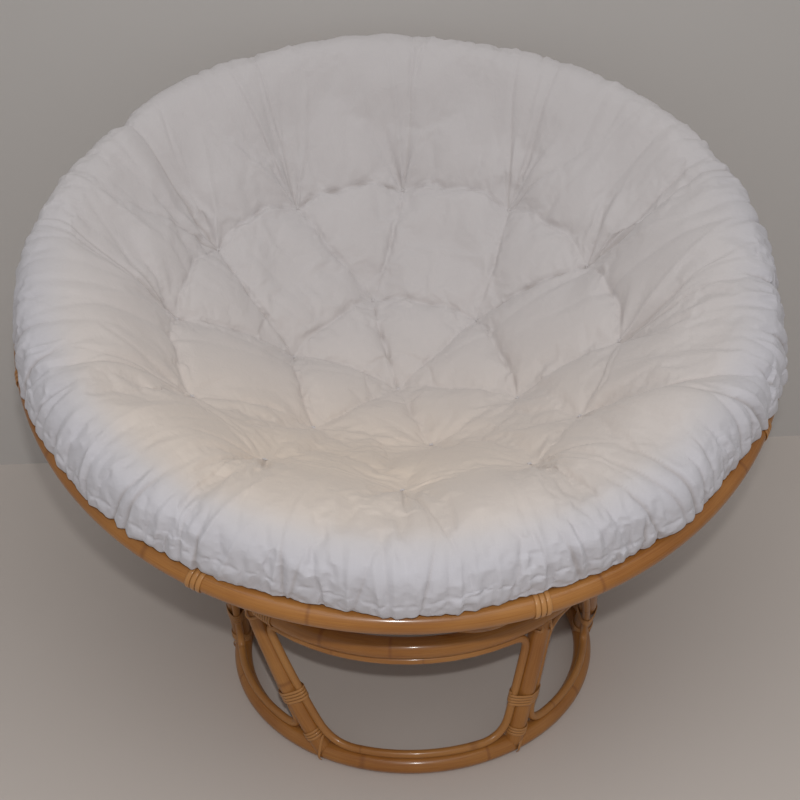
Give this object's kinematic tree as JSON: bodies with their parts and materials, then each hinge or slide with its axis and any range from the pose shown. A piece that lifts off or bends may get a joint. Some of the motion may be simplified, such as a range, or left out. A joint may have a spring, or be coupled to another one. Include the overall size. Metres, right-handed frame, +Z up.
{
  "type": "papasan chair",
  "caption": "Round rattan bowl chair: a bowl of bent poles with a tufted round cushion rests loose and tilted on a base of rings, posts and thin loops",
  "frame": {"origin": "on the floor, in the middle of the chair's bounding box", "axes": "+Z is up, the chair faces -Y and +X is to its left side as a sitter sees it"},
  "size_m": [1.0986, 1.0334, 0.8868],
  "materials": {
    "rattan_pole": "gloss",
    "rattan_loop": "satin",
    "rattan_binding": "satin",
    "cushion_fabric": "matte"
  },
  "bodies": {
    "base": {"base_lower_ring": "rattan_pole", "base_upper_ring": "rattan_pole", "base_upright_1": "rattan_pole", "base_upright_2": "rattan_pole", "base_upright_3": "rattan_pole", "base_upright_4": "rattan_pole", "base_upright_5": "rattan_pole", "base_upright_6": "rattan_pole", "opening_loop_1": "rattan_loop", "opening_loop_2": "rattan_loop", "opening_loop_3": "rattan_loop", "opening_loop_4": "rattan_loop", "opening_loop_5": "rattan_loop", "opening_loop_6": "rattan_loop", "mid_lashing_1": "rattan_binding", "mid_lashing_2": "rattan_binding", "mid_lashing_3": "rattan_binding", "mid_lashing_4": "rattan_binding", "mid_lashing_5": "rattan_binding", "mid_lashing_6": "rattan_binding", "foot_lashing_1": "rattan_binding", "foot_lashing_2": "rattan_binding", "foot_lashing_3": "rattan_binding", "foot_lashing_4": "rattan_binding", "foot_lashing_5": "rattan_binding", "foot_lashing_6": "rattan_binding", "cross_lashing_1": "rattan_binding", "cross_lashing_2": "rattan_binding", "cross_lashing_3": "rattan_binding", "cross_lashing_4": "rattan_binding", "cross_lashing_5": "rattan_binding", "cross_lashing_6": "rattan_binding", "ring_joint_binding": "rattan_binding"},
    "bowl": {"bowl_rim": "rattan_pole", "bowl_bottom_ring": "rattan_pole", "bowl_rib_1": "rattan_pole", "bowl_rib_2": "rattan_pole", "bowl_rib_3": "rattan_pole", "bowl_rib_4": "rattan_pole", "bowl_rib_5": "rattan_pole", "bowl_rib_6": "rattan_pole", "bowl_rib_7": "rattan_pole", "bowl_rib_8": "rattan_pole", "rim_binding_1": "rattan_binding", "rim_binding_2": "rattan_binding", "rim_binding_3": "rattan_binding", "rim_binding_4": "rattan_binding", "rim_binding_5": "rattan_binding", "rim_binding_6": "rattan_binding", "rim_binding_7": "rattan_binding", "rim_binding_8": "rattan_binding"},
    "cushion": {"cushion": "cushion_fabric"}
  },
  "joints": [
    {"name": "bowl_tilt", "type": "hinge", "parent": "base", "child": "bowl", "pos_m": [0, -0.05228, 0.756], "axis": [1, 0, 0], "range_deg": [-21, 14]},
    {"name": "cushion_lift", "type": "slide", "parent": "bowl", "child": "cushion", "axis": [0, -0.3633, 0.9317], "range_m": [0, 0.4]}
  ]
}
